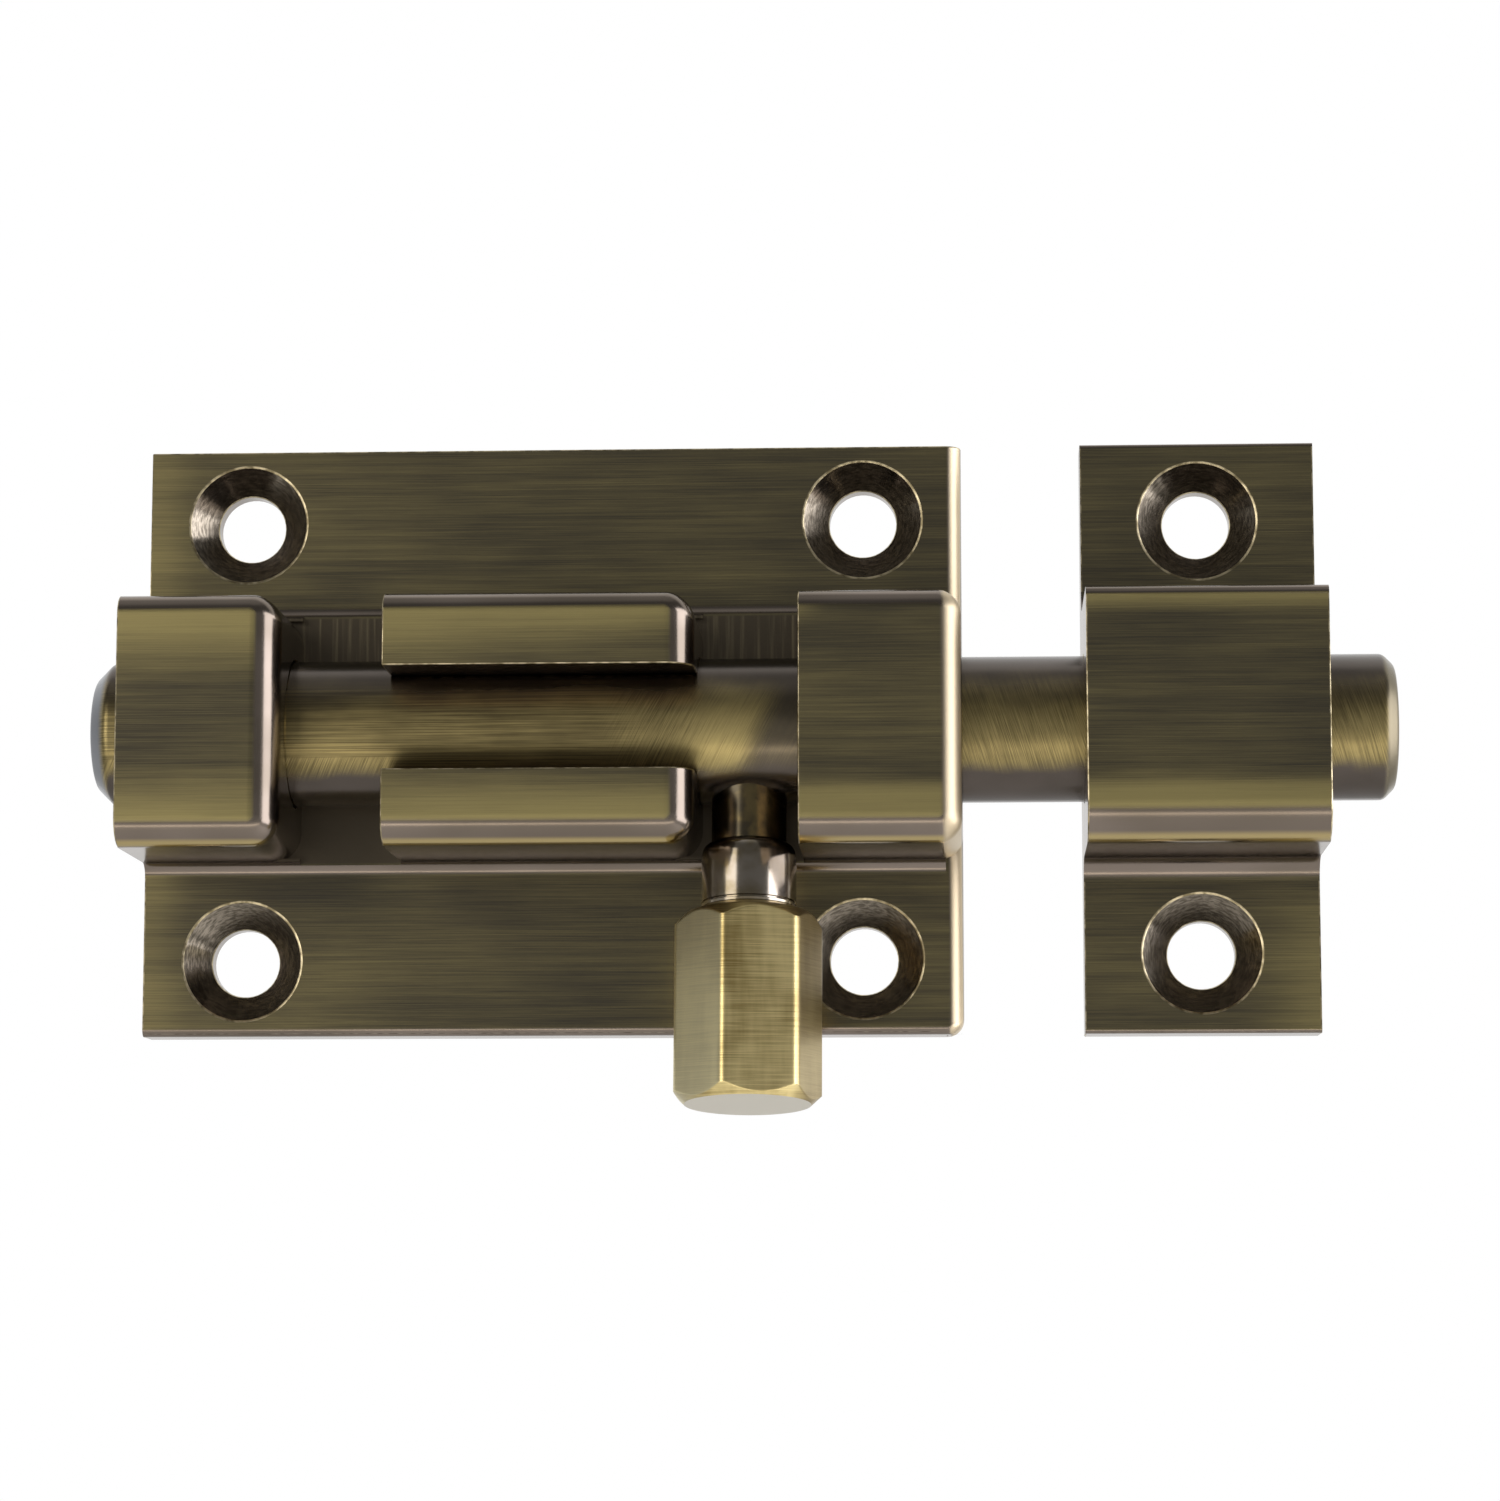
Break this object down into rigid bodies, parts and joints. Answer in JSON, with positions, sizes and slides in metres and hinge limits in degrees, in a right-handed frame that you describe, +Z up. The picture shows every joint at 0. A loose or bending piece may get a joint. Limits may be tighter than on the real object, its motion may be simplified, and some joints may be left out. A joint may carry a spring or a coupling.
{
  "type": "toggle bolt latch",
  "caption": "Surface door bolt: a round bolt turned and slid by a hexagonal knob in raised guides on a flat plate, with a separate keeper for the frame side.",
  "frame": {"origin": "centre of the guide plate's four screw holes, on the back face that lies on the door", "axes": "+X along the bolt towards the keeper, +Z up, fronts facing -Y"},
  "size_m": [0.089, 0.0153, 0.0469],
  "materials": {
    "brushed_brass": "antique brass, brushed along the bolt",
    "keeper_brass": "antique brass, brushed along the bolt",
    "bolt_brass": "antique brass, brushed around the bolt",
    "stud_brass": "dark antique brass, turned",
    "collar_brass": "antique brass, polished",
    "knob_brass": "antique brass, brushed across the flats"
  },
  "bodies": {
    "guide": {"guide_plate": "brushed_brass"},
    "bolt": {"bolt_rod": "bolt_brass", "knob_stud": "stud_brass", "knob_collar": "collar_brass", "hex_knob": "knob_brass"},
    "keeper": {"keeper": "keeper_brass"}
  },
  "joints": [
    {"name": "knob_turn", "type": "hinge", "parent": "guide", "child": "bolt", "pos_m": [0, -0.0069, 0], "axis": [-1, 0, 0], "range_deg": [0, 167]},
    {"name": "keeper_apart", "type": "slide", "parent": "guide", "child": "keeper", "axis": [1, 0, 0], "range_m": [0, 0.028]}
  ]
}
